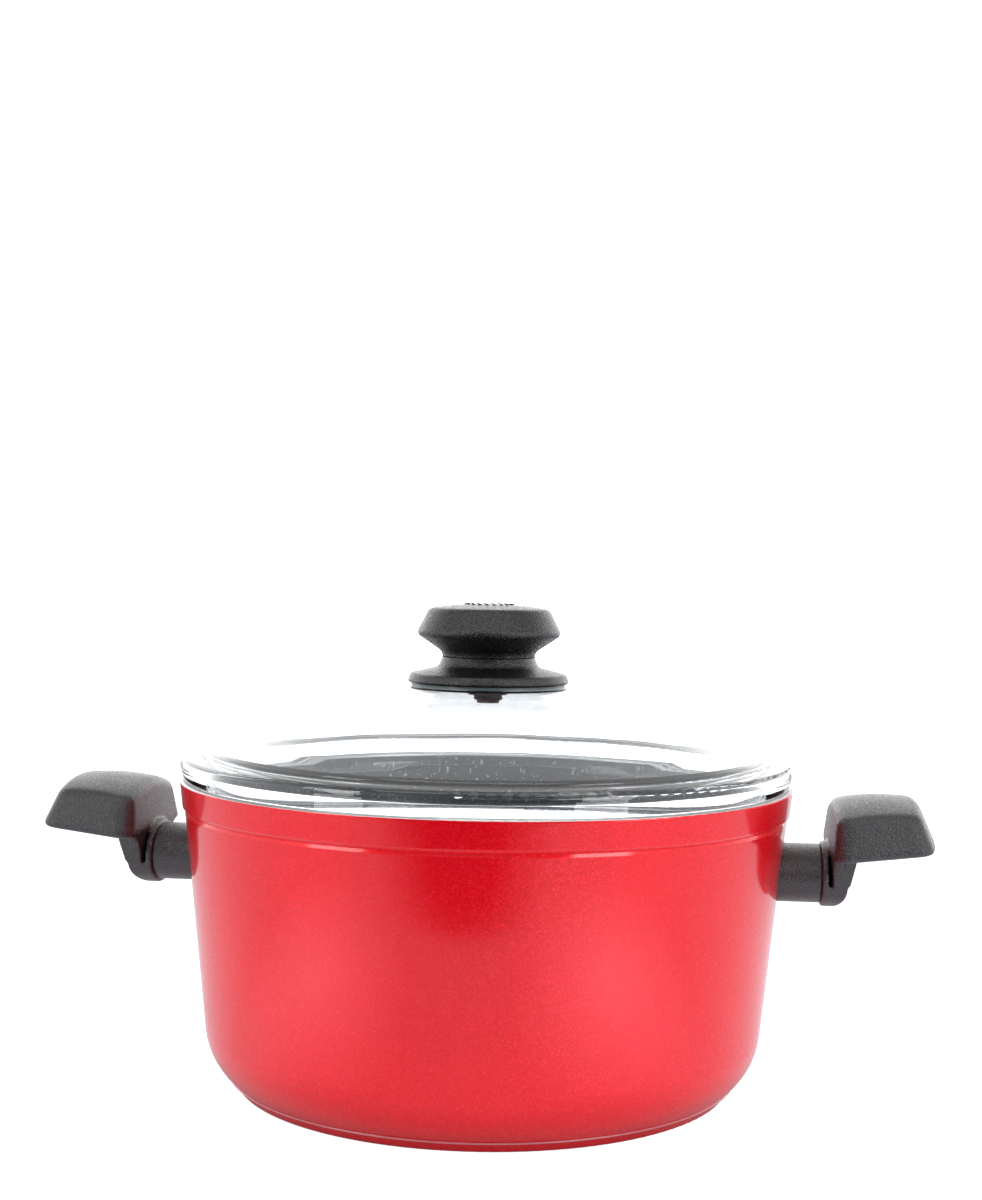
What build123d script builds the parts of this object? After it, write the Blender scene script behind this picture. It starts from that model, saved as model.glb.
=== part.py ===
"""A 24 cm lacquered aluminium casserole with a moulded glass lid and two bakelite side handles.

Millimetres, +Z up. The origin is the centre of the base, on the surface the pot stands on.
The handles lie along X. Every separate piece of the object is its own solid in its own file.
"""
from build123d import *
import os
from math import sqrt

# ---------------------------------------------------------------- driving dimensions
# Pot
POT_HEIGHT = 121.9
RIM_RADIUS = 123.5          # outside of the rim
MOUTH_RADIUS = 120.0        # inside of the rim, the nominal 24 cm
BAND_HEIGHT = 10.6          # plain band under the rim
BAND_FOOT_RADIUS = 122.3
STEP_HEIGHT = 1.5           # sloping underside of the band
STEP_DEPTH = 1.5
GROOVE_HEIGHT = 1.2         # shallow groove between the step and the wall
WALL_TOP_RADIUS = 121.2
WALL_TAPER = 0.107          # loss of radius for each millimetre down
WALL_THICKNESS = 3.2
WALL_CORNER = 27.2          # outside corner between wall and base
WALL_CORNER_LEVEL = -1.65   # level that the corner would run out on, a little under the base
FLOOR_CORNER = 22.0         # inside corner between wall and floor
FLOOR_HEIGHT = 6.0          # top of the cooking surface
BASE_RADIUS = 98.9          # conical base ring that the pot stands on
BASE_TOP_RADIUS = 101.8
BASE_HEIGHT = 4.1
RIM_ROUND = 0.8
BAND_ROUND = 0.5
PLATE_RADIUS = 84.0         # steel plate let into the underside
PLATE_THICKNESS = 1.0

# Handles, measured outwards along the handle from the pot's axis
HANDLE_AXIS = 87.9          # height of the screw axis
NECK_WIDTH = 35.0
NECK_HEIGHT = 23.0
HANDLE_START = 112.0        # inside the wall, which trims the neck and the stud
SEAM_REACH = 134.6          # end of the neck, start of the grip's collar
SEAM_BEVEL = 0.4
COLLAR_MARGIN = 1.3         # collar proud of the neck
COLLAR_THICKNESS = 2.6
SPIGOT_LENGTH = 2.0         # oval spigot that keys the neck into the collar
SPIGOT_MARGIN = 3.5
FIT_GAP = 0.1
STUD_RADIUS = 4.5
STUD_REACH = 133.0
STUD_FLANGE_RADIUS = 6.5
STUD_FLANGE_REACH = 122.5
HANDLE_SCREW_RADIUS = 2.5   # M5
THREAD_DEPTH = 9.0
SCREW_SEAT = 140.5          # seat of the washer in the counterbore
COUNTERBORE_RADIUS = 5.6
WASHER_RADIUS = 5.2
WASHER_THICKNESS = 0.9
HEAD_RADIUS = 4.4
HEAD_HEIGHT = 3.2
THREAD_GAP = 0.05

# Grip: a block with sloping sides and a crowned top
GRIP_LOW = 95.1
GRIP_HIGH = 120.9
GRIP_INNER = (137.6, 140.3)         # reach of the inner corners, at the low and high level
GRIP_CORNER = (178.1, 168.4)        # reach of the outer corners
GRIP_OUTER = (182.1, 170.8)         # reach of the outer face at its middle
GRIP_HALF_WIDTH = (38.1, 28.6)
GRIP_NARROWING = 2.5                # outer corners closer together than inner ones
GRIP_BOW = 0.6                      # the inner face bulges this much towards the pot
GRIP_CORNER_ROUND = 6.5
GRIP_CROWN_RADIUS = 97.0
GRIP_CROWN_REACH = 160.0
GRIP_CROWN_TOP = 119.7
GRIP_EDGE_ROUND = 5.0
GRIP_LIP_ROUND = 1.8
GRIP_UNDERSIDE = (96.1, 101.9)      # the underside rises outwards between these heights
GRIP_WALL = 4.6
GRIP_ROOF = 7.0

# Leg that joins the grip to the collar. It is one surface with the grip's inner face, and flares
# out to it like an apron. Points are (reach, height), then (half width, height).
LEG_FRONT = ((138.8, 85.3), (138.3, 92.9), (137.9, 97.3))
LEG_JOIN = ((140.6, 98.4), (142.0, 114.9))      # inside the grip's inner wall
LEG_BACK = ((144.6, 84.9), (145.6, 86.2), (147.2, 93.9), (147.9, 97.9), (149.2, 100.9))
LEG_FOOT = 84.5
LEG_SIDE = ((18.6, 85.3), (22.6, 96.1), (22.6, 97.1), (13.4, 98.4), (13.4, 114.9))
APRON_SIDE = ((18.6, 85.3), (22.8, 93.0), (33.0, 97.5))
APRON_TOP = 98.4
APRON_THICKNESS = 4.6
BOSS_BACK = ((144.6, 84.9), (143.4, 79.5), (139.4, 75.1))       # rounded underside of the boss
WEB_HALF_WIDTH = 7.0
WEB_DROP = 3.0                      # top of the web below the top of the collar
CUT_MARGIN = 5.0                    # cutting shapes reach this far past what they cut

# Lid
SEAT_GAP = 0.05             # lid flange over the rim
GLASS = 4.0
DOME_RADIUS = 248.0
DOME_TOP = 162.4            # where the ball of the dome would peak
KNOB_SEAT = 159.8           # flat that the knob stands on
FLANGE_RADIUS = 123.4
FLANGE_FOOT_RADIUS = 121.8
FLANGE_WIDEST = 5.5         # height of the widest ring over the rim
FLANGE_HEIGHT = 9.0
FLANGE_RISE = 1.5
RIDGE_OUTER = 118.3         # ring that drops into the mouth
RIDGE_INNER = 113.0
RIDGE_DEPTH = 6.0
FLANGE_TOP_RADIUS = 123.1
FLANGE_ROUNDS = (6.0, 2.0, 4.0, 0.8)        # from the dome's shoulder down to the foot
RIDGE_ROUNDS = (1.2, 1.6, 1.6, 5.0)         # from the foot round to the dome's hollow
LID_HOLE_RADIUS = 3.2

# Knob
GASKET_THICKNESS = 1.1
GASKET_RADIUS = 31.3
SKIRT_FOOT_RADIUS = 32.2
SKIRT_EDGE = (32.8, 0.9)            # radius, and height over the gasket
SKIRT_SHOULDER = (31.9, 3.7)
SKIRT_THROAT = (20.5, 6.5)
SKIRT_ROUNDS = (0.6, 1.8, 3.0)      # of the edge, shoulder and throat
SKIRT_CORE = ((26.5, 0.0), (25.5, 2.4))     # where the coring starts to slope up
CORE_SLOPE_TOP = 5.0
KNOB_NECK_RADIUS = 18.8
KNOB_SEAM = 171.5           # height where the two halves of the knob meet
KNOB_THROAT = (19.0, 2.0)           # radius, and height over the seam
KNOB_WIDEST = 29.8
KNOB_WIDEST_HEIGHT = 180.7
KNOB_CROWN_RADIUS = 24.6
KNOB_SHOULDER = 191.0
KNOB_TOP = 193.1
KNOB_ROUNDS = (4.0, 2.6, 3.4)       # of the throat, widest ring and shoulder
KNOB_WALL = 4.0
BOSS_RADIUS = 7.0
CORE_HEIGHT = 15.0
INSERT_RADIUS = 4.0
INSERT_LENGTH = 12.0
KNOB_SCREW_RADIUS = 2.0     # M4
KNOB_SCREW_LENGTH = 26.0
SEAL_RADIUS = 8.0
SEAL_THICKNESS = 1.8
LID_WASHER_RADIUS = 5.8
LID_WASHER_THICKNESS = 0.7
LID_HEAD_RADIUS = 4.6
LID_HEAD_HEIGHT = 1.4
PIP_COUNT = 20
PIP_RING_RADIUS = 9.5
PIP_RADIUS = 1.0

ON_BASE = (Align.CENTER, Align.CENTER, Align.MIN)
band_foot = POT_HEIGHT - BAND_HEIGHT
step_foot = band_foot - STEP_HEIGHT
wall_top = step_foot - GROOVE_HEIGHT


# ---------------------------------------------------------------- helpers
def wall_radius(height):
    """Outside radius of the tapered wall at a height."""
    return WALL_TOP_RADIUS - WALL_TAPER * (wall_top - height)


def corner_at(section, across, up, radius):
    """Round the corner of a section that lies nearest to a point."""
    fillet(section.vertices().sort_by_distance((across, up, 0))[0], radius)


def finish(piece, label):
    """Name a finished piece and write it."""
    piece.part.label = label
    export_step(piece.part, f"parts/{label}.step")


os.makedirs("parts", exist_ok=True)

# ---------------------------------------------------------------- pot
with BuildPart() as pot_form:
    with BuildSketch(Plane.XZ) as outside_section:
        with BuildLine():
            Polyline(
                (0, WALL_CORNER_LEVEL),
                (wall_radius(WALL_CORNER_LEVEL), WALL_CORNER_LEVEL),
                (wall_radius(wall_top), wall_top),
                (BAND_FOOT_RADIUS - STEP_DEPTH, step_foot),
                (BAND_FOOT_RADIUS, band_foot),
                (RIM_RADIUS, POT_HEIGHT),
                (0, POT_HEIGHT),
                close=True,
            )
        make_face()
        corner_at(outside_section, wall_radius(WALL_CORNER_LEVEL), WALL_CORNER_LEVEL, WALL_CORNER)
        corner_at(outside_section, BAND_FOOT_RADIUS, band_foot, BAND_ROUND)
        corner_at(outside_section, RIM_RADIUS, POT_HEIGHT, RIM_ROUND)
        Rectangle(2 * RIM_RADIUS, 2 * BASE_HEIGHT, mode=Mode.SUBTRACT)
    revolve(axis=Axis.Z)
    Cone(BASE_RADIUS, BASE_TOP_RADIUS, BASE_HEIGHT, align=ON_BASE)
    fillet(pot_form.edges().filter_by(GeomType.CIRCLE).group_by(Axis.Z)[0], RIM_ROUND)

with BuildPart() as pot_body:
    add(pot_form.part)
    inner_floor_edge = wall_radius(FLOOR_HEIGHT) - WALL_THICKNESS
    with BuildSketch(Plane.XZ) as cavity_section:
        with BuildLine():
            Polyline(
                (0, FLOOR_HEIGHT),
                (inner_floor_edge, FLOOR_HEIGHT),
                (wall_radius(step_foot) - WALL_THICKNESS, step_foot),
                (MOUTH_RADIUS, band_foot + BAND_HEIGHT / 3),
                (MOUTH_RADIUS, POT_HEIGHT),
                (0, POT_HEIGHT),
                close=True,
            )
        make_face()
        corner_at(cavity_section, inner_floor_edge, FLOOR_HEIGHT, FLOOR_CORNER)
    revolve(axis=Axis.Z, mode=Mode.SUBTRACT)
    rim_edges = pot_body.edges().filter_by(GeomType.CIRCLE).group_by(Axis.Z)[-1]
    fillet(rim_edges.sort_by(SortBy.RADIUS)[0], RIM_ROUND)
    Cylinder(PLATE_RADIUS, PLATE_THICKNESS, align=ON_BASE, mode=Mode.SUBTRACT)
finish(pot_body, "pot_body")

with BuildPart() as induction_plate:
    Cylinder(PLATE_RADIUS, PLATE_THICKNESS, align=ON_BASE)
finish(induction_plate, "induction_plate")


# ---------------------------------------------------------------- handles
def across_handle(outward, reach):
    """Plane across a handle at a reach: x to the side, y up, on the screw axis."""
    origin = outward * reach + Vector(0, 0, HANDLE_AXIS)
    return Plane(origin=origin, x_dir=Vector(0, 0, 1).cross(outward), z_dir=outward)


def grip_outline(outward, height, inset):
    """Plan of the grip at a height, drawn in that level's plane and drawn in by an inset."""
    share = (height - GRIP_LOW) / (GRIP_HIGH - GRIP_LOW)
    inner, corner, outer, half_width = (
        low + (high - low) * share
        for low, high in (GRIP_INNER, GRIP_CORNER, GRIP_OUTER, GRIP_HALF_WIDTH)
    )
    inner += inset
    corner -= inset
    outer -= inset
    half_width -= inset
    far_half = half_width - GRIP_NARROWING
    level = Plane(origin=(0, 0, height), x_dir=outward, z_dir=(0, 0, 1))
    with BuildSketch(level) as outline:
        with BuildLine():
            ThreePointArc((inner, -half_width), (inner - GRIP_BOW, 0), (inner, half_width))
            Line((inner, half_width), (corner, far_half))
            ThreePointArc((corner, far_half), (outer, 0), (corner, -far_half))
            Line((corner, -far_half), (inner, -half_width))
        make_face()
        fillet(outline.vertices(), max(GRIP_CORNER_ROUND - inset, 1.0))
    return outline


spigot_size = (NECK_WIDTH / 2 - SPIGOT_MARGIN, NECK_HEIGHT / 2 - SPIGOT_MARGIN)
collar_size = (NECK_WIDTH / 2 + COLLAR_MARGIN, NECK_HEIGHT / 2 + COLLAR_MARGIN)
collar_top = HANDLE_AXIS + NECK_HEIGHT / 2 + COLLAR_MARGIN
collar_reach = SEAM_REACH + COLLAR_THICKNESS
notch_foot = LEG_FRONT[0][1]
boss_end = LEG_BACK[0][0] + 2 * CUT_MARGIN
web_end = LEG_FRONT[-1][0] + 1.0
washer_top = SCREW_SEAT + WASHER_THICKNESS

for side, outward in (("right", Vector(1, 0, 0)), ("left", Vector(-1, 0, 0))):
    upright = Plane(origin=(0, 0, 0), x_dir=outward, z_dir=outward.cross(Vector(0, 0, 1)))

    # Threaded stud welded to the wall
    with BuildPart() as weld_stud:
        with BuildSketch(across_handle(outward, HANDLE_START)):
            Circle(STUD_FLANGE_RADIUS)
        extrude(amount=STUD_FLANGE_REACH - HANDLE_START)
        with BuildSketch(across_handle(outward, HANDLE_START)):
            Circle(STUD_RADIUS)
        extrude(amount=STUD_REACH - HANDLE_START)
        with BuildSketch(across_handle(outward, STUD_REACH - THREAD_DEPTH)):
            Circle(HANDLE_SCREW_RADIUS)
        extrude(amount=THREAD_DEPTH, mode=Mode.SUBTRACT)
        add(pot_form.part, mode=Mode.SUBTRACT)
    finish(weld_stud, f"{side}_weld_stud")

    # Oval neck that shields the grip from the flame
    with BuildPart() as handle_neck:
        with BuildSketch(across_handle(outward, HANDLE_START)):
            Ellipse(NECK_WIDTH / 2, NECK_HEIGHT / 2)
        extrude(amount=SEAM_REACH - HANDLE_START)
        chamfer(handle_neck.edges().group_by(Axis(origin=(0, 0, 0), direction=outward))[-1], SEAM_BEVEL)
        with BuildSketch(across_handle(outward, SEAM_REACH)):
            Ellipse(*spigot_size)
        extrude(amount=SPIGOT_LENGTH)
        with BuildSketch(across_handle(outward, HANDLE_START)):
            Circle(STUD_FLANGE_RADIUS + FIT_GAP)
        extrude(amount=STUD_FLANGE_REACH + FIT_GAP - HANDLE_START, mode=Mode.SUBTRACT)
        with BuildSketch(across_handle(outward, HANDLE_START)):
            Circle(STUD_RADIUS + FIT_GAP)
        extrude(amount=SEAM_REACH + SPIGOT_LENGTH - HANDLE_START, mode=Mode.SUBTRACT)
        add(pot_form.part, mode=Mode.SUBTRACT)
    finish(handle_neck, f"{side}_handle_neck")

    # Leg that carries the grip
    with BuildPart() as leg_block:
        with BuildSketch(upright):
            with BuildLine():
                Polyline(
                    (LEG_FRONT[0][0], LEG_FOOT),
                    *LEG_FRONT,
                    *LEG_JOIN,
                    (LEG_BACK[-1][0], LEG_JOIN[-1][1]),
                    *reversed(LEG_BACK),
                    (LEG_BACK[0][0], LEG_FOOT),
                    close=True,
                )
            make_face()
        extrude(amount=NECK_WIDTH, both=True)
        with BuildSketch(across_handle(outward, SEAM_REACH)):
            with BuildLine():
                side_points = [(half, height - HANDLE_AXIS) for half, height in LEG_SIDE]
                Polyline(
                    (LEG_SIDE[0][0], LEG_FOOT - HANDLE_AXIS),
                    *side_points,
                    *((-half, up) for half, up in reversed(side_points)),
                    (-LEG_SIDE[0][0], LEG_FOOT - HANDLE_AXIS),
                    close=True,
                )
            make_face()
        extrude(amount=LEG_BACK[-1][0] + CUT_MARGIN - SEAM_REACH, mode=Mode.INTERSECT)

    # Apron under the grip's inner wall, flaring to the full width of the grip
    with BuildPart() as apron:
        with BuildSketch(upright):
            with BuildLine():
                Polyline(
                    *LEG_FRONT,
                    (LEG_FRONT[-1][0], APRON_TOP),
                    (LEG_FRONT[-1][0] + APRON_THICKNESS, APRON_TOP),
                    (LEG_FRONT[0][0] + APRON_THICKNESS, LEG_FRONT[0][1]),
                    close=True,
                )
            make_face()
        extrude(amount=GRIP_HALF_WIDTH[0], both=True)
        with BuildSketch(across_handle(outward, SEAM_REACH)):
            with BuildLine():
                flare = [(half, height - HANDLE_AXIS) for half, height in APRON_SIDE]
                top = APRON_TOP - HANDLE_AXIS
                ThreePointArc(*flare)
                Polyline(flare[-1], (flare[-1][0], top), (-flare[-1][0], top), (-flare[-1][0], flare[-1][1]))
                ThreePointArc(*((-half, up) for half, up in reversed(flare)))
                Line((-flare[0][0], flare[0][1]), flare[0])
            make_face()
        extrude(amount=LEG_BACK[-1][0] + CUT_MARGIN - SEAM_REACH, mode=Mode.INTERSECT)

    # Collar with the boss under it, the leg and the web between them
    with BuildPart() as grip_leg:
        with BuildSketch(across_handle(outward, SEAM_REACH)):
            Ellipse(*collar_size)
        extrude(amount=LEG_BACK[0][0] + CUT_MARGIN - SEAM_REACH)
        chamfer(grip_leg.edges().group_by(Axis(origin=(0, 0, 0), direction=outward))[0], SEAM_BEVEL)
        with BuildSketch(upright):
            with BuildLine():
                Polyline(
                    (collar_reach, notch_foot),
                    (boss_end, notch_foot),
                    (boss_end, collar_top + CUT_MARGIN),
                    (collar_reach, collar_top + CUT_MARGIN),
                    close=True,
                )
            make_face()
        extrude(amount=NECK_WIDTH, both=True, mode=Mode.SUBTRACT)
        with BuildSketch(upright):
            with BuildLine():
                ThreePointArc(*BOSS_BACK)
                Polyline(
                    BOSS_BACK[-1],
                    (BOSS_BACK[-1][0], BOSS_BACK[-1][1] - CUT_MARGIN),
                    (boss_end, BOSS_BACK[-1][1] - CUT_MARGIN),
                    (boss_end, notch_foot + CUT_MARGIN),
                    (BOSS_BACK[0][0], notch_foot + CUT_MARGIN),
                    BOSS_BACK[0],
                )
            make_face()
        extrude(amount=NECK_WIDTH, both=True, mode=Mode.SUBTRACT)
        add(leg_block.part)
        add(apron.part)
        with BuildSketch(upright):
            with BuildLine():
                Polyline(
                    (SEAM_REACH + COLLAR_THICKNESS / 2, LEG_FOOT),
                    (web_end, LEG_FOOT),
                    (web_end, collar_top - WEB_DROP),
                    (SEAM_REACH + COLLAR_THICKNESS / 2, collar_top - WEB_DROP),
                    close=True,
                )
            make_face()
        extrude(amount=WEB_HALF_WIDTH, both=True)

    # Grip, hollow underneath
    low_outline = grip_outline(outward, GRIP_LOW, 0)
    high_outline = grip_outline(outward, GRIP_HIGH, 0)
    low_pocket = grip_outline(outward, GRIP_LOW, GRIP_WALL)
    high_pocket = grip_outline(outward, GRIP_CROWN_TOP - GRIP_ROOF, GRIP_WALL)
    with BuildPart() as handle_grip:
        loft([low_outline.sketch, high_outline.sketch], ruled=True)
        with Locations(outward * GRIP_CROWN_REACH + Vector(0, 0, GRIP_CROWN_TOP - GRIP_CROWN_RADIUS)):
            Sphere(GRIP_CROWN_RADIUS, mode=Mode.INTERSECT)
        with BuildSketch(upright):
            with BuildLine():
                Polyline(
                    (GRIP_INNER[0] - CUT_MARGIN, GRIP_LOW - CUT_MARGIN),
                    (GRIP_OUTER[0] + CUT_MARGIN, GRIP_LOW - CUT_MARGIN),
                    (GRIP_OUTER[0] + CUT_MARGIN, GRIP_UNDERSIDE[1]),
                    (GRIP_INNER[0] - CUT_MARGIN, GRIP_UNDERSIDE[0]),
                    close=True,
                )
            make_face()
        extrude(amount=2 * GRIP_HALF_WIDTH[0], both=True, mode=Mode.SUBTRACT)
        crown = handle_grip.faces().filter_by(GeomType.SPHERE)[0]
        fillet(crown.edges(), GRIP_EDGE_ROUND)
        underside = handle_grip.faces().sort_by(Axis.Z)[0]
        fillet(underside.edges(), GRIP_LIP_ROUND)
        loft([low_pocket.sketch, high_pocket.sketch], ruled=True, mode=Mode.SUBTRACT)
        add(grip_leg.part)
        with BuildSketch(across_handle(outward, SEAM_REACH)):
            Ellipse(*(half + FIT_GAP for half in spigot_size))
        extrude(amount=SPIGOT_LENGTH + FIT_GAP, mode=Mode.SUBTRACT)
        with BuildSketch(across_handle(outward, SEAM_REACH)):
            Circle(HANDLE_SCREW_RADIUS + FIT_GAP)
        extrude(amount=SCREW_SEAT - SEAM_REACH, mode=Mode.SUBTRACT)
        with BuildSketch(across_handle(outward, SCREW_SEAT)):
            Circle(COUNTERBORE_RADIUS)
        extrude(amount=LEG_BACK[-1][0] - SCREW_SEAT, mode=Mode.SUBTRACT)
    finish(handle_grip, f"{side}_handle_grip")

    with BuildPart() as handle_washer:
        with BuildSketch(across_handle(outward, SCREW_SEAT)):
            Circle(WASHER_RADIUS)
            Circle(HANDLE_SCREW_RADIUS + FIT_GAP, mode=Mode.SUBTRACT)
        extrude(amount=WASHER_THICKNESS)
    finish(handle_washer, f"{side}_handle_washer")

    with BuildPart() as handle_screw:
        with BuildSketch(across_handle(outward, washer_top)):
            Circle(HEAD_RADIUS)
        extrude(amount=HEAD_HEIGHT)
        fillet(handle_screw.edges().group_by(Axis(origin=(0, 0, 0), direction=outward))[-1], HEAD_HEIGHT / 3)
        with BuildSketch(across_handle(outward, washer_top + HEAD_HEIGHT)):
            with PolarLocations(0, 2, angular_range=180):
                Rectangle(HEAD_RADIUS * 1.1, HEAD_RADIUS / 4)
        extrude(amount=-HEAD_HEIGHT / 2, mode=Mode.SUBTRACT)
        with BuildSketch(across_handle(outward, washer_top)):
            Circle(HANDLE_SCREW_RADIUS - THREAD_GAP)
        extrude(amount=-(washer_top - STUD_REACH + THREAD_DEPTH - 1))
    finish(handle_screw, f"{side}_handle_screw")

# ---------------------------------------------------------------- lid
lid_seat = POT_HEIGHT + SEAT_GAP
dome_centre = DOME_TOP - DOME_RADIUS


def dome_height(radius, depth=0.0):
    """Height of the dome at a radius, or of the surface a depth below it."""
    return dome_centre + sqrt((DOME_RADIUS - depth) ** 2 - radius**2)


def dome_reach(height, depth=0.0):
    """Radius at which the dome, or the surface a depth below it, passes a height."""
    return sqrt((DOME_RADIUS - depth) ** 2 - (height - dome_centre) ** 2)


flange_top = lid_seat + FLANGE_HEIGHT
ridge_foot = lid_seat - RIDGE_DEPTH
shoulder = dome_reach(flange_top + FLANGE_RISE)
seat_edge = dome_reach(KNOB_SEAT)
under_seat = KNOB_SEAT - GLASS
under_edge = dome_reach(under_seat, GLASS)
hollow_edge = dome_height(RIDGE_INNER, GLASS)
flange_corners = (
    (shoulder, flange_top + FLANGE_RISE),
    (FLANGE_TOP_RADIUS, flange_top),
    (FLANGE_RADIUS, lid_seat + FLANGE_WIDEST),
    (FLANGE_FOOT_RADIUS, lid_seat),
)
ridge_corners = (
    (RIDGE_OUTER, lid_seat),
    (RIDGE_OUTER, ridge_foot),
    (RIDGE_INNER, ridge_foot),
    (RIDGE_INNER, hollow_edge),
)

with BuildPart() as glass_lid:
    with BuildSketch(Plane.XZ) as lid_section:
        with BuildLine():
            outer_middle = (seat_edge + shoulder) / 2
            inner_middle = (under_edge + RIDGE_INNER) / 2
            Line((LID_HOLE_RADIUS, KNOB_SEAT), (seat_edge, KNOB_SEAT))
            ThreePointArc(
                (seat_edge, KNOB_SEAT),
                (outer_middle, dome_height(outer_middle)),
                (shoulder, flange_top + FLANGE_RISE),
            )
            Polyline(*flange_corners, *ridge_corners)
            ThreePointArc(
                (RIDGE_INNER, hollow_edge),
                (inner_middle, dome_height(inner_middle, GLASS)),
                (under_edge, under_seat),
            )
            Polyline((under_edge, under_seat), (LID_HOLE_RADIUS, under_seat), (LID_HOLE_RADIUS, KNOB_SEAT))
        make_face()
        for corner, rounding in zip(flange_corners + ridge_corners, FLANGE_ROUNDS + RIDGE_ROUNDS):
            corner_at(lid_section, *corner, rounding)
    revolve(axis=Axis.Z)
finish(glass_lid, "glass_lid")

# ---------------------------------------------------------------- knob and its fastening, on the Z axis
gasket_top = KNOB_SEAT + GASKET_THICKNESS
screw_clearance = KNOB_SCREW_RADIUS + FIT_GAP
core_radius = KNOB_NECK_RADIUS - KNOB_WALL


def over_gasket(point):
    """A (radius, height over the gasket) point of the knob's section, on the pot's own heights."""
    return point[0], gasket_top + point[1]


with BuildPart() as knob_gasket:
    with BuildSketch(Plane.XY.offset(KNOB_SEAT)):
        Circle(GASKET_RADIUS)
        Circle(LID_HOLE_RADIUS, mode=Mode.SUBTRACT)
    extrude(amount=GASKET_THICKNESS)
finish(knob_gasket, "knob_gasket")

# Lower half of the knob, cored from below round a boss for the screw
with BuildPart() as knob_skirt:
    with BuildSketch(Plane.XZ) as skirt_section:
        with BuildLine():
            Polyline(
                (screw_clearance, gasket_top),
                (SKIRT_FOOT_RADIUS, gasket_top),
                over_gasket(SKIRT_EDGE),
                over_gasket(SKIRT_SHOULDER),
                over_gasket(SKIRT_THROAT),
                (KNOB_NECK_RADIUS, KNOB_SEAM),
                (screw_clearance, KNOB_SEAM),
                close=True,
            )
        make_face()
        for corner, rounding in zip((SKIRT_EDGE, SKIRT_SHOULDER, SKIRT_THROAT), SKIRT_ROUNDS):
            corner_at(skirt_section, *over_gasket(corner), rounding)
    revolve(axis=Axis.Z)
    with BuildSketch(Plane.XZ):
        with BuildLine():
            Polyline(
                (BOSS_RADIUS, gasket_top),
                over_gasket(SKIRT_CORE[0]),
                over_gasket(SKIRT_CORE[1]),
                (core_radius, gasket_top + CORE_SLOPE_TOP),
                (core_radius, KNOB_SEAM - KNOB_WALL / 2),
                (BOSS_RADIUS, KNOB_SEAM - KNOB_WALL / 2),
                close=True,
            )
        make_face()
    revolve(axis=Axis.Z, mode=Mode.SUBTRACT)
finish(knob_skirt, "knob_skirt")

# Upper half of the knob, with a ring of raised pips on its crown
crown_rise = KNOB_TOP - KNOB_SHOULDER
crown_radius = (KNOB_CROWN_RADIUS**2 + crown_rise**2) / (2 * crown_rise)
throat = (KNOB_THROAT[0], KNOB_SEAM + KNOB_THROAT[1])
widest = (KNOB_WIDEST, KNOB_WIDEST_HEIGHT)
crown_edge = (KNOB_CROWN_RADIUS, KNOB_SHOULDER)
pip_height = KNOB_TOP - crown_radius + sqrt(crown_radius**2 - PIP_RING_RADIUS**2)

with BuildPart() as knob_grip:
    with BuildSketch(Plane.XZ) as grip_section:
        with BuildLine():
            Polyline(
                (0, KNOB_TOP),
                (0, KNOB_SEAM),
                (KNOB_NECK_RADIUS, KNOB_SEAM),
                throat,
                widest,
                crown_edge,
            )
            RadiusArc(crown_edge, (0, KNOB_TOP), -crown_radius)
        make_face()
        for corner, rounding in zip((throat, widest, crown_edge), KNOB_ROUNDS):
            corner_at(grip_section, *corner, rounding)
    revolve(axis=Axis.Z)
    with BuildSketch(Plane.XY.offset(KNOB_SEAM)):
        Circle(core_radius)
        Circle(BOSS_RADIUS, mode=Mode.SUBTRACT)
    extrude(amount=CORE_HEIGHT, mode=Mode.SUBTRACT)
    with BuildSketch(Plane.XY.offset(KNOB_SEAM)):
        Circle(INSERT_RADIUS)
    extrude(amount=INSERT_LENGTH, mode=Mode.SUBTRACT)
    with Locations((0, 0, pip_height - PIP_RADIUS / 2)):
        with PolarLocations(PIP_RING_RADIUS, PIP_COUNT):
            Sphere(PIP_RADIUS)
finish(knob_grip, "knob_grip")

# Threaded insert moulded into the upper half
with BuildPart() as knob_insert:
    with BuildSketch(Plane.XY.offset(KNOB_SEAM)):
        Circle(INSERT_RADIUS)
        Circle(KNOB_SCREW_RADIUS, mode=Mode.SUBTRACT)
    extrude(amount=INSERT_LENGTH)
finish(knob_insert, "knob_insert")

# Seal, washer and screw under the glass
with BuildPart() as lid_seal:
    with BuildSketch(Plane.XY.offset(under_seat)):
        Circle(SEAL_RADIUS)
        Circle(screw_clearance, mode=Mode.SUBTRACT)
    extrude(amount=-SEAL_THICKNESS)
finish(lid_seal, "lid_seal")

with BuildPart() as lid_washer:
    with BuildSketch(Plane.XY.offset(under_seat - SEAL_THICKNESS)):
        Circle(LID_WASHER_RADIUS)
        Circle(screw_clearance, mode=Mode.SUBTRACT)
    extrude(amount=-LID_WASHER_THICKNESS)
finish(lid_washer, "lid_washer")

head_seat = under_seat - SEAL_THICKNESS - LID_WASHER_THICKNESS
with BuildPart() as lid_screw:
    with BuildSketch(Plane.XY.offset(head_seat)):
        Circle(LID_HEAD_RADIUS)
    extrude(amount=-LID_HEAD_HEIGHT)
    fillet(lid_screw.edges().group_by(Axis.Z)[0], LID_HEAD_HEIGHT / 3)
    with BuildSketch(Plane.XY.offset(head_seat - LID_HEAD_HEIGHT)):
        with PolarLocations(0, 2, angular_range=180):
            Rectangle(LID_HEAD_RADIUS * 1.1, LID_HEAD_RADIUS / 4)
    extrude(amount=LID_HEAD_HEIGHT / 2, mode=Mode.SUBTRACT)
    with BuildSketch(Plane.XY.offset(head_seat)):
        Circle(KNOB_SCREW_RADIUS - THREAD_GAP)
    extrude(amount=KNOB_SCREW_LENGTH)
finish(lid_screw, "lid_screw")
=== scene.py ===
"""Looks for the 24 cm casserole: camera, studio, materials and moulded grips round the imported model."""
from math import cos, hypot, pi, radians, sin

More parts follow.
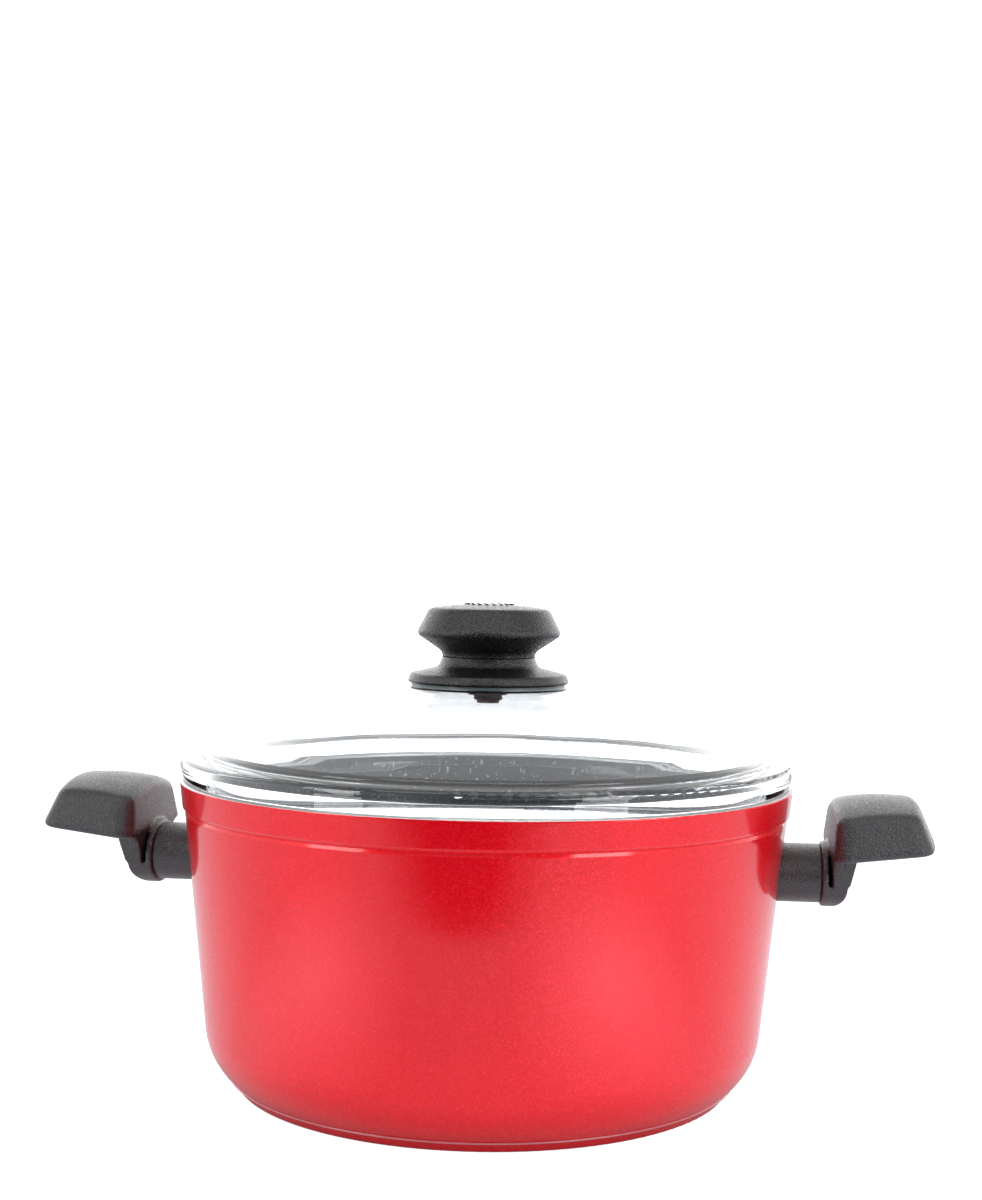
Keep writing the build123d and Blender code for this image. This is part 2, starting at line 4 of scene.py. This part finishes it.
import bmesh
import bpy
from mathutils import Matrix, Vector


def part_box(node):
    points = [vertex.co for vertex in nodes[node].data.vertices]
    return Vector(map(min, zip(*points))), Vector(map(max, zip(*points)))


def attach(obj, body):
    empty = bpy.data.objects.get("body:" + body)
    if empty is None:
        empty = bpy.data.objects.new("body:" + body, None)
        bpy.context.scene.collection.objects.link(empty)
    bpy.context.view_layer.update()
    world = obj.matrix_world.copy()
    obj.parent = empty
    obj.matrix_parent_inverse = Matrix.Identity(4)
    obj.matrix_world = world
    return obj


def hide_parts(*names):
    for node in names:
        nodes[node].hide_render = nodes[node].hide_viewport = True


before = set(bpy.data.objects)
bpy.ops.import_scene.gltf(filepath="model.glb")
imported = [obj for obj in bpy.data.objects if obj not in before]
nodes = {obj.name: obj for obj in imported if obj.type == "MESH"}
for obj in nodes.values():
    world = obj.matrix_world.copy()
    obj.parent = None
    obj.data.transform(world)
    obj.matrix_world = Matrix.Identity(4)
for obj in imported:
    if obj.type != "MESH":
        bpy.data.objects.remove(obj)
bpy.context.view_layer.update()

MM = 0.001
RIM_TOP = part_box("pot_body")[1][2]
LIP = 0.5 * MM              # the bare metal lip reaches this far down outside the rim
INNER_LIP = 1.6 * MM        # and this far down inside it
LIP_EDGE = 0.05 * MM        # width of the line where it meets the lacquer or coating
FLAKE_LEAN = 0.24           # how far the lacquer's flakes lean

# ---------------------------------------------------------------- camera
CAMERA_DISTANCE = 749.5 * MM        # level distance from the pot's axis
CAMERA_HEIGHT = 209.6 * MM
CAMERA_TURN = radians(6.5)          # the right-hand handle comes this much nearer
CAMERA_YAW = radians(0.042)
CAMERA_PITCH = radians(1.149)
CAMERA_ROLL = radians(0.967)
LENS = 55.23                        # mm on a 36 mm frame


def add_camera():
    data = bpy.data.cameras.new("camera")
    data.lens = LENS
    data.sensor_width = 36.0
    data.clip_start = 0.01
    data.clip_end = 50.0
    camera = bpy.data.objects.new("camera", data)
    bpy.context.scene.collection.objects.link(camera)
    heading = CAMERA_TURN - CAMERA_YAW
    level = cos(CAMERA_PITCH)
    forward = Vector((-sin(heading) * level, cos(heading) * level, -sin(CAMERA_PITCH)))
    right = forward.cross(Vector((0, 0, 1))).normalized()
    up = right.cross(forward)
    rolled_right = right * cos(CAMERA_ROLL) + up * sin(CAMERA_ROLL)
    rolled_up = up * cos(CAMERA_ROLL) - right * sin(CAMERA_ROLL)
    turn = Matrix((rolled_right, rolled_up, -forward)).transposed().to_4x4()
    place = (CAMERA_DISTANCE * sin(CAMERA_TURN), -CAMERA_DISTANCE * cos(CAMERA_TURN), CAMERA_HEIGHT)
    camera.matrix_world = Matrix.Translation(place) @ turn
    bpy.context.scene.camera = camera


add_camera()


# ---------------------------------------------------------------- node trees
class Look:
    """A procedural material on one Principled shader, drawn in object coordinates."""

    def __init__(self, name, **sockets):
        self.material = bpy.data.materials.new(name)
        self.material.use_nodes = True
        self.tree = self.material.node_tree
        self.shader = self.tree.nodes["Principled BSDF"]
        self.place = self.add("ShaderNodeTexCoord").outputs["Object"]
        self.set(**sockets)

    def add(self, kind, feeds=None, **settings):
        """A node with its settings, and its inputs fed with values or other nodes' outputs."""
        node = self.tree.nodes.new(kind)
        for key, value in settings.items():
            setattr(node, key, value)
        for key, value in (feeds or {}).items():
            self.feed(node.inputs[key], value)
        return node

    def feed(self, socket, value):
        if isinstance(value, bpy.types.NodeSocket):
            self.tree.links.new(value, socket)
        elif socket.type == "RGBA" and len(value) == 3:
            socket.default_value = (*value, 1.0)
        else:
            socket.default_value = value

    def set(self, **sockets):
        """Feed the shader's sockets: base_color=... goes to Base Color."""
        for key, value in sockets.items():
            name = key.replace("_", " ").title().replace("Ior", "IOR")
            self.feed(self.shader.inputs[name], value)

    def noise(self, scale, detail=2.0, roughness=0.5, place=None):
        feeds = {"Vector": place or self.place, "Scale": scale, "Detail": detail, "Roughness": roughness}
        return self.add("ShaderNodeTexNoise", feeds).outputs[0]

    def cells(self, scale, output="Color"):
        feeds = {"Vector": self.place, "Scale": scale}
        return self.add("ShaderNodeTexVoronoi", feeds).outputs[output]

    def math(self, operation, first, second=0.0):
        return self.add("ShaderNodeMath", {0: first, 1: second}, operation=operation).outputs[0]

    def span(self, value, low, high, to_low=0.0, to_high=1.0):
        """Map a value from one range to another, clamped."""
        feeds = {"Value": value, "From Min": low, "From Max": high, "To Min": to_low, "To Max": to_high}
        return self.add("ShaderNodeMapRange", feeds).outputs[0]

    def blend(self, share, first, second):
        """Mix two colours."""
        node = self.add("ShaderNodeMix", data_type="RGBA")
        self.feed(node.inputs[0], share)
        self.feed(node.inputs[6], first)
        self.feed(node.inputs[7], second)
        return node.outputs[2]

    def bump(self, height, distance, strength=1.0, normal=None):
        feeds = {"Height": height, "Distance": distance, "Strength": strength}
        if normal is not None:
            feeds["Normal"] = normal
        return self.add("ShaderNodeBump", feeds).outputs[0]

    def split(self, place=None):
        """The three coordinates of a place."""
        return self.add("ShaderNodeSeparateXYZ", {0: place or self.place}).outputs

    def far(self, first, second):
        """Distance that two steps at right angles come to."""
        total = self.math("ADD", self.math("MULTIPLY", first, first), self.math("MULTIPLY", second, second))
        return self.math("SQRT", total)

    def reach(self):
        """Distance from the pot's axis."""
        x, y, _ = self.split()
        return self.far(x, y)

    def lip(self, depth):
        """One on the machined lip, down to a depth under the rim's top, and zero below."""
        return self.span(self.split()[2], RIM_TOP - depth, RIM_TOP - depth + LIP_EDGE)

    def rings(self, scale):
        """Noise that only changes with the distance from the axis."""
        out = self.add("ShaderNodeCombineXYZ", {0: self.math("MULTIPLY", self.reach(), scale)}).outputs[0]
        return self.noise(1.0, 4.0, place=out)


# ---------------------------------------------------------------- materials
def red_lacquer():
    """Metallic red: flakes that each lean their own way, under a clear gloss coat."""
    look = Look("red_lacquer", specular_ior_level=0.0, coat_roughness=0.11, coat_ior=1.5)
    flake = look.cells(2300.0)
    lean = look.add("ShaderNodeVectorMath", {0: flake, 1: (0.5, 0.5, 0.5)}, operation="SUBTRACT").outputs[0]
    lean = look.add("ShaderNodeVectorMath", {0: lean, "Scale": FLAKE_LEAN}, operation="SCALE").outputs[0]
    normal = look.add("ShaderNodeNewGeometry").outputs["Normal"]
    normal = look.add("ShaderNodeVectorMath", {0: normal, 1: lean}, operation="ADD").outputs[0]
    normal = look.add("ShaderNodeVectorMath", {0: normal}, operation="NORMALIZE").outputs[0]
    bright = look.span(look.split(flake)[0], 0.55, 1.0)
    cloud = look.span(look.noise(26.0, 3.0), 0.3, 0.7)
    ground = look.blend(cloud, (0.76, 0.002, 0.007), (0.82, 0.003, 0.010))
    lip = look.lip(LIP)
    look.set(
        base_color=look.blend(lip, look.blend(bright, ground, (0.93, 0.014, 0.035)), (0.62, 0.61, 0.61)),
        metallic=look.span(lip, 0.0, 1.0, 0.42, 1.0),
        coat_weight=look.span(lip, 0.0, 1.0, 1.0, 0.0),
        roughness=look.span(look.noise(900.0, 1.0), 0.3, 0.7, 0.36, 0.46),
        normal=normal,
    )
    peel = look.bump(look.noise(210.0, 1.0), 0.00003, 0.35)
    look.set(coat_normal=peel)
    return look.material


def painted_highlight_lacquer():
    """Painted highlight: lacquer painted pale and pink along the bead round the base."""
    look = Look("painted_highlight_lacquer", coat_weight=1.0, coat_roughness=0.2, coat_ior=1.5)
    look.set(
        base_color=look.blend(look.noise(900.0, 2.0), (0.54, 0.14, 0.16), (0.66, 0.20, 0.23)),
        roughness=look.span(look.noise(120.0, 2.0), 0.3, 0.7, 0.30, 0.40),
    )
    return look.material


def non_stick():
    """Dark grey coating with light and dark speckles."""
    look = Look("non_stick", specular_ior_level=0.5)
    ground = look.blend(look.noise(700.0, 3.0), (0.030, 0.032, 0.035), (0.055, 0.058, 0.062))
    small = look.span(look.cells(620.0, "Distance"), 0.16, 0.26, 1.0, 0.0)
    large = look.span(look.cells(240.0, "Distance"), 0.12, 0.20, 1.0, 0.0)
    chosen = look.math("GREATER_THAN", look.split(look.cells(620.0))[0], 0.45)
    speck = look.math("MAXIMUM", look.math("MULTIPLY", small, chosen), large)
    lip = look.lip(INNER_LIP)
    look.set(
        base_color=look.blend(lip, look.blend(speck, ground, (0.30, 0.31, 0.32)), (0.70, 0.70, 0.71)),
        metallic=lip,
        roughness=look.span(look.noise(300.0, 3.0), 0.3, 0.7, 0.30, 0.42),
        normal=look.bump(look.noise(450.0, 3.0), 0.0001, 0.3),
    )
    return look.material


def turned_aluminium():
    """Bare metal with fine rings from the lathe."""
    look = Look("turned_aluminium", metallic=1.0)
    rings = look.rings(2500.0)
    look.set(
        base_color=look.blend(rings, (0.60, 0.60, 0.61), (0.80, 0.80, 0.81)),
        roughness=look.span(rings, 0.3, 0.7, 0.24, 0.40),
        normal=look.bump(rings, 0.00002, 0.5),
    )
    return look.material


def induction_steel():
    """Stainless plate, brushed in circles, with small pressed hollows that are also painted darker as
    shade.
    """
    look = Look("induction_steel", metallic=1.0)
    rings = look.rings(1800.0)
    dimple_and_shade = look.span(look.cells(110.0, "Distance"), 0.20, 0.30, 1.0, 0.0)
    brushed = look.blend(rings, (0.50, 0.50, 0.51), (0.66, 0.66, 0.67))
    look.set(
        # the hollows' darker colour is painted shade in the recesses
        base_color=look.blend(dimple_and_shade, brushed, (0.34, 0.34, 0.35)),
        roughness=look.span(rings, 0.3, 0.7, 0.22, 0.38),
        normal=look.bump(dimple_and_shade, -0.0003, 0.6, look.bump(rings, 0.00002, 0.5)),
    )
    return look.material


def black_bakelite(name, dark, light, smoothest):
    """Near-black moulding with a spark-eroded grain that catches the light point by point."""
    look = Look(name, ior=1.6)
    grain = look.noise(1500.0, 2.0, 0.6)
    height = look.math("ADD", grain, look.math("MULTIPLY", look.cells(1300.0, "Distance"), 0.5))
    fine = look.span(grain, 0.35, 0.65)
    worn = look.span(look.noise(60.0, 3.0), 0.3, 0.7, smoothest, smoothest + 0.06)
    look.set(
        base_color=look.blend(fine, dark, light),
        roughness=look.math("ADD", worn, look.math("MULTIPLY", look.math("SUBTRACT", fine, 0.5), 0.22)),
        normal=look.bump(height, 0.0004, 0.7),
    )
    return look.material


def seam_shadow():
    """The gap between the knob's halves, almost black."""
    look = Look("seam_shadow", specular_ior_level=0.0)
    look.set(
        base_color=look.blend(look.noise(1500.0, 2.0), (0.001, 0.001, 0.001), (0.004, 0.004, 0.004)),
        roughness=look.span(look.noise(300.0, 2.0), 0.3, 0.7, 0.85, 0.95),
    )
    return look.material


def clear_glass():
    """Pressed soda glass with the faint waviness of the mould."""
    tint = (0.960, 0.982, 0.995)
    look = Look("clear_glass", base_color=tint, roughness=0.0, transmission_weight=1.0, ior=1.5)
    look.set(normal=look.bump(look.noise(14.0, 2.0), 0.0012, 0.10))
    return look.material


def silicone(name, dark, light, roughness):
    look = Look(name)
    look.set(
        base_color=look.blend(look.noise(300.0, 2.0), dark, light),
        roughness=look.span(look.noise(120.0, 2.0), 0.3, 0.7, roughness - 0.05, roughness + 0.08),
        normal=look.bump(look.noise(800.0, 2.0), 0.00005, 0.4),
    )
    return look.material


def plated_metal(name, dark, light, roughness):
    """Plated or turned small metal parts, with fine tool marks."""
    look = Look(name, metallic=1.0)
    marks = look.noise(1600.0, 3.0)
    look.set(
        base_color=look.blend(look.noise(220.0, 3.0), dark, light),
        roughness=look.span(marks, 0.3, 0.7, roughness - 0.06, roughness + 0.08),
        normal=look.bump(marks, 0.00002, 0.4),
    )
    return look.material


# ---------------------------------------------------------------- studio
def area_light(name, place, target, size, power):
    """White rectangular lamp turned to its target, with its power in watts."""
    data = bpy.data.lights.new(name, "AREA")
    data.shape = "RECTANGLE"
    data.size, data.size_y = size
    data.energy = power
    light = bpy.data.objects.new(name, data)
    bpy.context.scene.collection.objects.link(light)
    light.location = place
    light.rotation_euler = (Vector(target) - Vector(place)).to_track_quat("-Z", "Y").to_euler()


FLOOR_NEAR = 0.42       # the pale table ends this far in front of the axis
FLOOR_FAR = 2.5
RING = 1.15             # brightness of the white sweep round the table
UPPER = 0.50            # of the studio above it
BACKDROP = 2.15         # how much brighter both are behind the pot
DARK_ROOM = 0.08        # share of them left, low down, on the camera's side
FLOOR_GLOW = 0.36       # the table glows, less so under the pot, and whiter still to the camera
FLOOR_SHADE = (0.098, 0.130)    # painted shadow under the pot: it gains its full glow between these distances from the axis
GLOW_UNDER_POT = 0.1            # share of the glow left inside them
GLOW_COLOUR = (0.94, 1.0, 1.13)
POOL_PLACE = (0.18, -0.18)      # two painted pools of light on it, left and right in front of the pot
POOL_RADIUS = 0.13
POOL_GAIN = 2.6
RIGHT_GAIN = 1.25               # painted light: the right side of the table glows more
FLOOR_SEEN = 0.90
FLAG_PLACE = (0.0, -0.30, 0.035)
FLAG_SIZE = (0.30, 0.14)
FLAG_BLACK = 0.95               # how black it is
FLAG_CORE = 0.35                # out to this share of its size, before it fades


def world_node(tree, kind, links, **values):
    node = tree.nodes.new(kind)
    for key, value in values.items():
        node.inputs[key.replace("_", " ")].default_value = value
    for key, source in links.items():
        tree.links.new(source, node.inputs[key])
    return node


def add_world():
    """White sweep all round, a dimmer studio above it and a dark room behind the camera.

    What the camera sees directly is plain white."""
    world = bpy.data.worlds.new("studio")
    bpy.context.scene.world = world
    world.use_nodes = True
    tree = world.node_tree
    coords = tree.nodes.new("ShaderNodeTexCoord")
    way = world_node(tree, "ShaderNodeSeparateXYZ", {0: coords.outputs["Generated"]})
    upper = world_node(
        tree, "ShaderNodeMapRange", {"Value": way.outputs["Z"]},
        From_Min=0.30, From_Max=0.60, To_Min=RING, To_Max=UPPER,
    )
    front = world_node(
        tree, "ShaderNodeMapRange", {"Value": way.outputs["Y"]},
        From_Min=-0.85, From_Max=-0.35, To_Min=DARK_ROOM, To_Max=1.0,
    )
    behind = world_node(
        tree, "ShaderNodeMapRange", {"Value": way.outputs["Y"]},
        From_Min=0.20, From_Max=0.80, To_Min=1.0, To_Max=BACKDROP,
    )
    over = world_node(
        tree, "ShaderNodeMapRange", {"Value": way.outputs["Z"], "To Min": front.outputs[0]},
        From_Min=0.30, From_Max=0.80, To_Max=1.0,
    )
    for part in (upper, front, behind, over):
        part.interpolation_type = "SMOOTHSTEP"
    share = world_node(tree, "ShaderNodeMath", {0: upper.outputs[0], 1: over.outputs[0]})
    share = world_node(tree, "ShaderNodeMath", {0: share.outputs[0], 1: behind.outputs[0]})
    for step in tree.nodes:
        if step.type == "MATH":
            step.operation = "MULTIPLY"
    path = tree.nodes.new("ShaderNodeLightPath")
    seen = world_node(tree, "ShaderNodeMath", {0: path.outputs["Is Camera Ray"], 1: share.outputs[0]})
    seen.operation = "MAXIMUM"
    back = tree.nodes["Background"]
    back.inputs["Color"].default_value = (1, 1, 1, 1)
    tree.links.new(seen.outputs[0], back.inputs["Strength"])


def flat_piece(name, corners, material):
    """One flat face of the stage."""
    mesh = bpy.data.meshes.new(name)
    build = bmesh.new()
    build.faces.new([build.verts.new(corner) for corner in corners])
    build.to_mesh(mesh)
    build.free()
    mesh.materials.append(material)
    piece = bpy.data.objects.new(name, mesh)
    bpy.context.scene.collection.objects.link(piece)
    return piece


def add_floor():
    look = Look("floor", base_color=(0.50, 0.50, 0.51), roughness=0.8, specular_ior_level=0.1)
    seen = look.add("ShaderNodeLightPath").outputs["Is Camera Ray"]
    # painted shadow: the glow dims under the pot
    glow = look.span(look.reach(), *FLOOR_SHADE, GLOW_UNDER_POT * FLOOR_GLOW, FLOOR_GLOW)
    x, y, _ = look.split()
    # painted pools of light, and a brighter right side below
    aside = look.math("SUBTRACT", look.math("ABSOLUTE", x), POOL_PLACE[0])
    ahead = look.math("SUBTRACT", y, POOL_PLACE[1])
    away = look.far(aside, ahead)
    glow = look.math("MULTIPLY", glow, look.span(away, 0.0, POOL_RADIUS, 1.0 + POOL_GAIN, 1.0))
    glow = look.math("MULTIPLY", glow, look.span(x, -0.05, 0.15, 1.0, RIGHT_GAIN))
    strength = look.math("MAXIMUM", look.math("MULTIPLY", seen, FLOOR_SEEN), glow)
    look.set(emission_color=look.blend(seen, GLOW_COLOUR, (1, 1, 1)), emission_strength=strength)
    far, near = FLOOR_FAR, -FLOOR_NEAR
    flat_piece("floor", [(-far, near, 0), (far, near, 0), (far, far, 0), (-far, far, 0)], look.material)


def add_flag():
    """Black card with a soft edge in front of the pot, seen only in what the pot mirrors."""
    look = Look("flag")
    half_width, half_height = FLAG_SIZE[0] / 2, FLAG_SIZE[1] / 2
    x, _, z = look.split()
    across = look.math("DIVIDE", look.math("SUBTRACT", x, FLAG_PLACE[0]), half_width)
    up = look.math("DIVIDE", look.math("SUBTRACT", z, FLAG_PLACE[2]), half_height)
    card = look.span(look.far(across, up), FLAG_CORE, 1.0, FLAG_BLACK, 0.0)
    clear = look.add("ShaderNodeBsdfTransparent").outputs[0]
    black = look.add("ShaderNodeEmission", {"Strength": 0.0}).outputs[0]
    mix = look.add("ShaderNodeMixShader", {0: card, 1: clear, 2: black}).outputs[0]
    look.tree.links.new(mix, look.tree.nodes["Material Output"].inputs["Surface"])
    x, y, z = FLAG_PLACE
    flag = flat_piece("flag", [
        (x - half_width, y, z - half_height), (x + half_width, y, z - half_height),
        (x + half_width, y, z + half_height), (x - half_width, y, z + half_height),
    ], look.material)
    flag.visible_camera = flag.visible_diffuse = flag.visible_transmission = flag.visible_shadow = False


def add_studio():
    bpy.context.scene.view_settings.view_transform = "Standard"
    add_world()
    add_floor()
    add_flag()
    area_light("main_softbox", (0, -0.62, 1.10), (0, 0, 0.1), (1.2, 0.5), 4.2)
    area_light("left_softbox", (-0.92, -0.80, 0.42), (-0.1, 0, 0.08), (0.45, 0.55), 3.8)
    area_light("right_softbox", (0.92, -0.80, 0.42), (0.1, 0, 0.08), (0.45, 0.55), 4.4)


add_studio()


# ---------------------------------------------------------------- finishes on the CAD pieces


def paint(name, *materials):
    """Give a CAD node its materials."""
    slots = nodes[name].data.materials
    slots.clear()
    for material in materials:
        slots.append(material)


BASE_FACE = 1.2 * MM            # the bare base is below this level
FLOOR_INSIDE = 104.5 * MM       # the coated floor inside the pot is within this distance from the axis


def paint_pot(lacquer, coating, bare):
    """Lacquer outside, coating inside, both bare on the lip, and bare metal under the base."""
    paint("pot_body", lacquer, coating, bare)
    for face in nodes["pot_body"].data.polygons:
        x, y, z = face.center
        outward = face.normal.x * x + face.normal.y * y
        on_floor = face.normal.z > 0.5 and z < 0.5 * RIM_TOP and hypot(x, y) < FLOOR_INSIDE
        if z < BASE_FACE:
            face.material_index = 2
        elif outward < 0 or on_floor:
            face.material_index = 1


BEAD_RADIUS = 102.1 * MM    # where the wall's corner runs into the base ring
BEAD_HEIGHT = 4.1 * MM
BEAD_THICKNESS = 0.8 * MM
SEAM_DEPTH = 0.1 * MM       # how far the line between the knob's halves stands out of the neck
SEAM_THICKNESS = 0.5 * MM
SEAM_EDGE = 0.3 * MM        # the skirt's rim is this close to its top
RING_STEPS = 256
RING_SIDES = 10


def fine_ring(name, radius, height, depth, thickness, body, material):
    """Thin ring of oval section round the axis."""
    build = bmesh.new()
    rows = []
    for step in range(RING_STEPS):
        turn = 2 * pi * step / RING_STEPS
        row = []
        for side in range(RING_SIDES):
            lean = 2 * pi * side / RING_SIDES
            out = radius + depth * cos(lean)
            up = height + thickness / 2 * sin(lean)
            row.append(build.verts.new((out * cos(turn), out * sin(turn), up)))
        rows.append(row)
    for row, following in zip(rows, rows[1:] + rows[:1]):
        for side in range(RING_SIDES):
            after = (side + 1) % RING_SIDES
            build.faces.new((row[side], following[side], following[after], row[after]))
    mesh = bpy.data.meshes.new(name)
    build.to_mesh(mesh)
    build.free()
    mesh.materials.append(material)
    mesh.shade_smooth()
    piece = bpy.data.objects.new(name, mesh)
    bpy.context.scene.collection.objects.link(piece)
    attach(piece, body)


def base_bead(material):
    """Fine raised bead on the line between wall and base ring."""
    depth = BEAD_THICKNESS / 2
    fine_ring("base_bead", BEAD_RADIUS, BEAD_HEIGHT, depth, BEAD_THICKNESS, "pot", material)


def knob_seam_shadow(material):
    """Painted shadow: a near-black ring round the neck, standing for the shade in the gap where the knob's
    two halves meet.
    """
    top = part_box("knob_skirt")[1][2]
    places = [vertex.co for vertex in nodes["knob_skirt"].data.vertices]
    radius = max(hypot(place.x, place.y) for place in places if place.z > top - SEAM_EDGE)
    fine_ring("knob_seam_shadow", radius, top, SEAM_DEPTH, SEAM_THICKNESS, "lid", material)


VOXEL = 0.40 * MM           # of the remesh that gives the grips their moulded, blended edges
LEG_TOP = 97.9 * MM         # the leg, boss and collar are below this and within the leg's reach and width
LEG_REACH = 149.0 * MM
LEG_HALF_WIDTH = 24.0 * MM
LEG_FADE = 4.0 * MM         # width of the change from the leg, smoothed little, to the grip
SOFTEN_ROUNDS = 45          # rounds of smoothing on the grip only
BLEND_ROUNDS = 14           # and on the whole moulding


def applied(piece):
    """Take a piece's modifiers into its mesh."""
    bpy.context.view_layer.update()
    shaped = bpy.data.meshes.new_from_object(piece.evaluated_get(bpy.context.evaluated_depsgraph_get()))
    piece.modifiers.clear()
    piece.data = shaped


def moulded_grip(side, material):
    """The grip, collar and leg as one moulding: the CAD solid's shape with every edge and fold softened."""
    node = f"{side}_handle_grip"
    piece = bpy.data.objects.new(f"{side}_moulded_grip", nodes[node].data.copy())
    bpy.context.scene.collection.objects.link(piece)
    remesh = piece.modifiers.new("remesh", "REMESH")
    remesh.mode = "VOXEL"
    remesh.voxel_size = VOXEL
    applied(piece)
    block = piece.vertex_groups.new(name="block")
    for vertex in piece.data.vertices:
        x, y, z = vertex.co
        outside = max(z - LEG_TOP, abs(x) - LEG_REACH, abs(y) - LEG_HALF_WIDTH)
        block.add([vertex.index], min(max(outside / LEG_FADE + 0.5, 0.0), 1.0), "REPLACE")
    for name, group, rounds in (("soften", "block", SOFTEN_ROUNDS), ("blend", "", BLEND_ROUNDS)):
        smooth = piece.modifiers.new(name, "SMOOTH")
        smooth.factor = 0.5
        smooth.iterations = rounds
        smooth.vertex_group = group
    applied(piece)
    piece.vertex_groups.clear()
    piece.data.materials.clear()
    piece.data.materials.append(material)
    piece.data.shade_smooth()
    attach(piece, "pot")
    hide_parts(node)


# One bakelite in two copies: the grips' copy is painted lighter, a painted highlight, and the knob's
# near-black, a painted shade; their roughness differs too.
bakelite = black_bakelite("black_bakelite", (0.016, 0.016, 0.018), (0.034, 0.033, 0.037), 0.33)
shaded_knob_bakelite = black_bakelite("shaded_knob_bakelite", (0.001, 0.001, 0.001), (0.006, 0.006, 0.007), 0.28)
steel = plated_metal("fastener_steel", (0.62, 0.62, 0.64), (0.78, 0.78, 0.79), 0.22)
bare = turned_aluminium()
paint_pot(red_lacquer(), non_stick(), bare)
# the bead's pale lacquer is a painted highlight along the base
base_bead(painted_highlight_lacquer())
knob_seam_shadow(seam_shadow())
paint("induction_plate", induction_steel())
paint("glass_lid", clear_glass())
paint("knob_gasket", silicone("clear_silicone", (0.07, 0.10, 0.11), (0.14, 0.18, 0.19), 0.35))
# the seal's and washer's reddish tone is a painted reflection of the red pot
seal = silicone("dark_silicone", (0.035, 0.008, 0.008), (0.08, 0.018, 0.016), 0.40)
for name in ("lid_seal", "lid_washer"):
    paint(name, seal)
paint("knob_insert", plated_metal("brass", (0.62, 0.44, 0.17), (0.80, 0.62, 0.30), 0.25))
for name in ("knob_skirt", "knob_grip"):
    paint(name, shaded_knob_bakelite)
# dark steel whose red-brown tone is a painted reflection of the red pot
paint("lid_screw", plated_metal("browned_steel", (0.05, 0.018, 0.016), (0.12, 0.05, 0.045), 0.42))
for side in ("left", "right"):
    paint(f"{side}_weld_stud", bare)
    paint(f"{side}_handle_neck", bakelite)
    moulded_grip(side, bakelite)
    for name in ("handle_washer", "handle_screw"):
        paint(f"{side}_{name}", steel)
nodes["glass_lid"].visible_shadow = False
